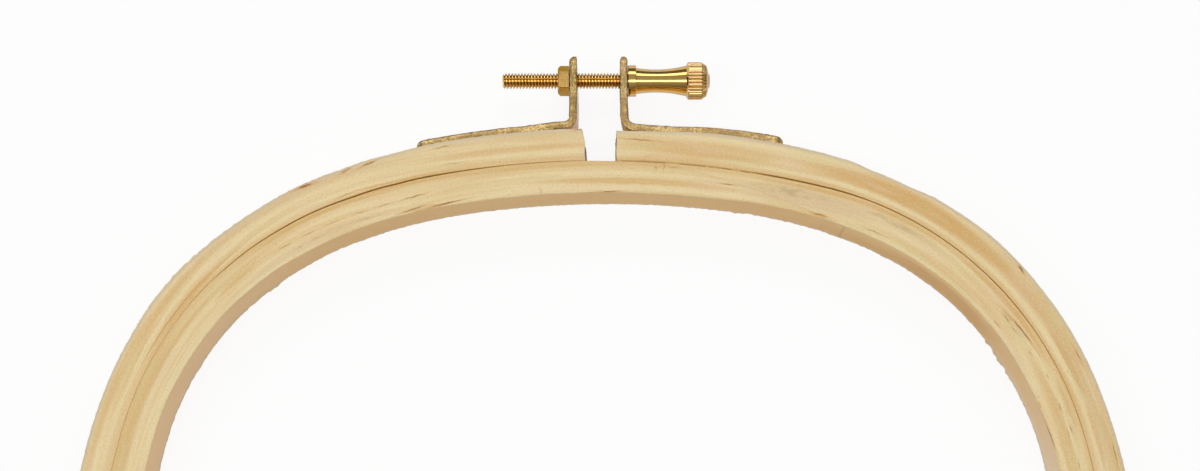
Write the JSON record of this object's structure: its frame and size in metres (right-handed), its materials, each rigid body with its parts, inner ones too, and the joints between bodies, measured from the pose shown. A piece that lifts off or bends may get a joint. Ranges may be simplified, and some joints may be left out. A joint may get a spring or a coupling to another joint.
{
  "type": "embroidery hoop",
  "caption": "Oval wooden embroidery hoop: a closed inner ring inside a split outer ring that a brass screw with a waisted knurled grip draws tight across the split.",
  "frame": {"origin": "centre of the bounding box in X and Y, at the underside of the hoop; it lies 8.15 mm towards the screw from the centre of the oval", "axes": "+X along the oval's long axis towards the knurled grip, +Y towards the split and the screw, +Z out of the front face of the hoop"},
  "size_m": [0.2, 0.1916, 0.01],
  "materials": {
    "outer_wood": "matte",
    "inner_wood": "matte",
    "bracket_brass": "satin",
    "pin_brass": "satin",
    "nut_brass": "satin",
    "rod_brass": "satin",
    "grip_brass": "polished"
  },
  "bodies": {
    "split_hoop": {"outer_hoop": "outer_wood", "left_bracket": "bracket_brass", "left_pin_1": "pin_brass", "left_pin_2": "pin_brass", "hex_nut": "nut_brass"},
    "opening_side": {"right_bracket": "bracket_brass", "right_pin_1": "pin_brass", "right_pin_2": "pin_brass"},
    "tension_screw": {"threaded_rod": "rod_brass", "knurled_grip": "grip_brass"},
    "ring": {"inner_hoop": "inner_wood"}
  },
  "joints": [
    {"name": "hoop_open", "type": "hinge", "parent": "split_hoop", "child": "opening_side", "pos_m": [-0.007, -0.09295, 0.005], "axis": [0, 0, -1], "range_deg": [0, 1.58], "deforming": ["outer_hoop"]},
    {"name": "screw_turn", "type": "hinge", "parent": "opening_side", "child": "tension_screw", "pos_m": [0.0043, 0.09125, 0.005], "axis": [1, 0, 0], "range_deg": [0, 2880]},
    {"name": "ring_lift", "type": "slide", "parent": "split_hoop", "child": "ring", "axis": [0, 0, 1], "range_m": [0, 0.03]}
  ],
  "couplings": [
    {"joint": "screw_turn", "follows": "hoop_open", "ratio": 1822.6}
  ]
}
